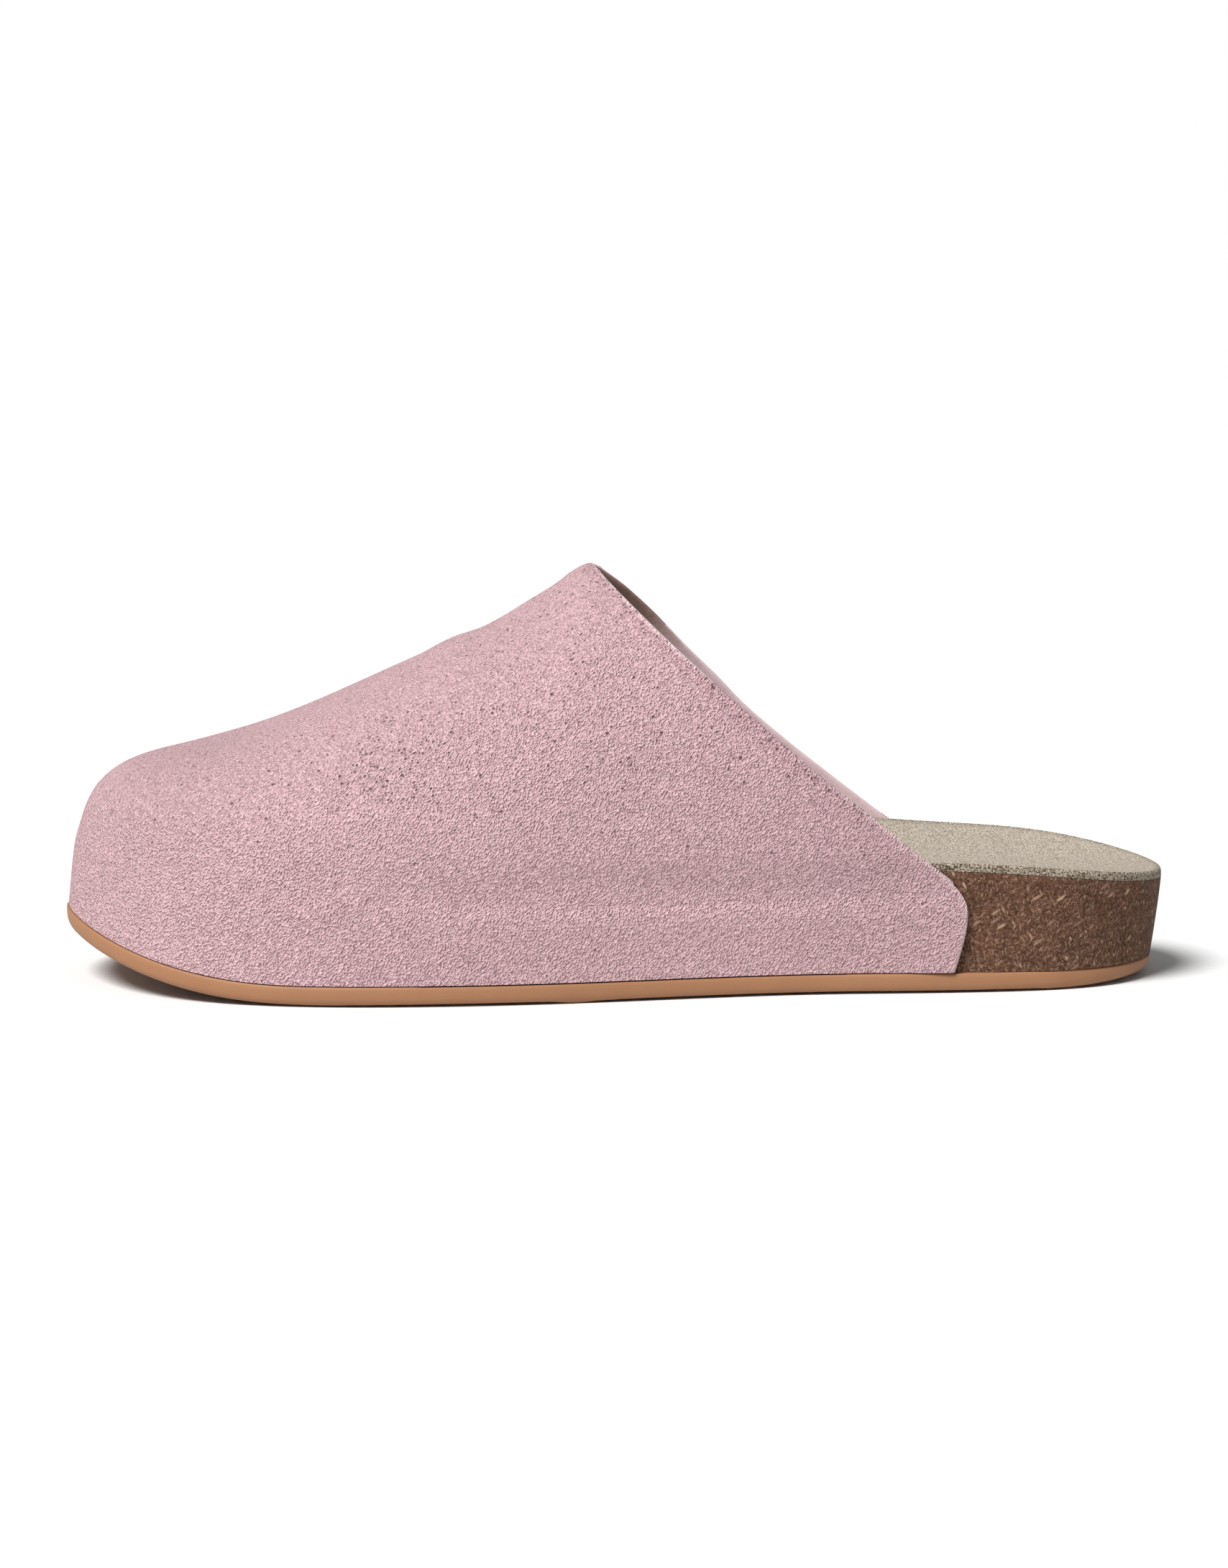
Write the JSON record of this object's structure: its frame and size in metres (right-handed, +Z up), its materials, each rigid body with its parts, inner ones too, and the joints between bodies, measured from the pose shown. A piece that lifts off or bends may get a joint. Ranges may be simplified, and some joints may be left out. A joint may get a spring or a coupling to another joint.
{
  "type": "closed-toe slide",
  "caption": "Backless closed-toe slide with a hollow suede upper lasted over a dished cork footbed, a suede insole and a thin rubber outsole.",
  "frame": {"origin": "on the floor, under the middle of the shoe's box", "axes": "+X to the toe, +Y to the outer side of this left shoe, +Z up"},
  "size_m": [0.2556, 0.095, 0.0963],
  "materials": {
    "outsole_rubber": "matt moulded rubber, tan",
    "cork": "pressed cork granules, dark brown",
    "insole_suede": "beige suede",
    "upper_suede": "dusty pink suede"
  },
  "bodies": {
    "root": {"outsole": "outsole_rubber", "midsole": "cork", "insole": "insole_suede", "upper": "upper_suede"}
  },
  "joints": []
}
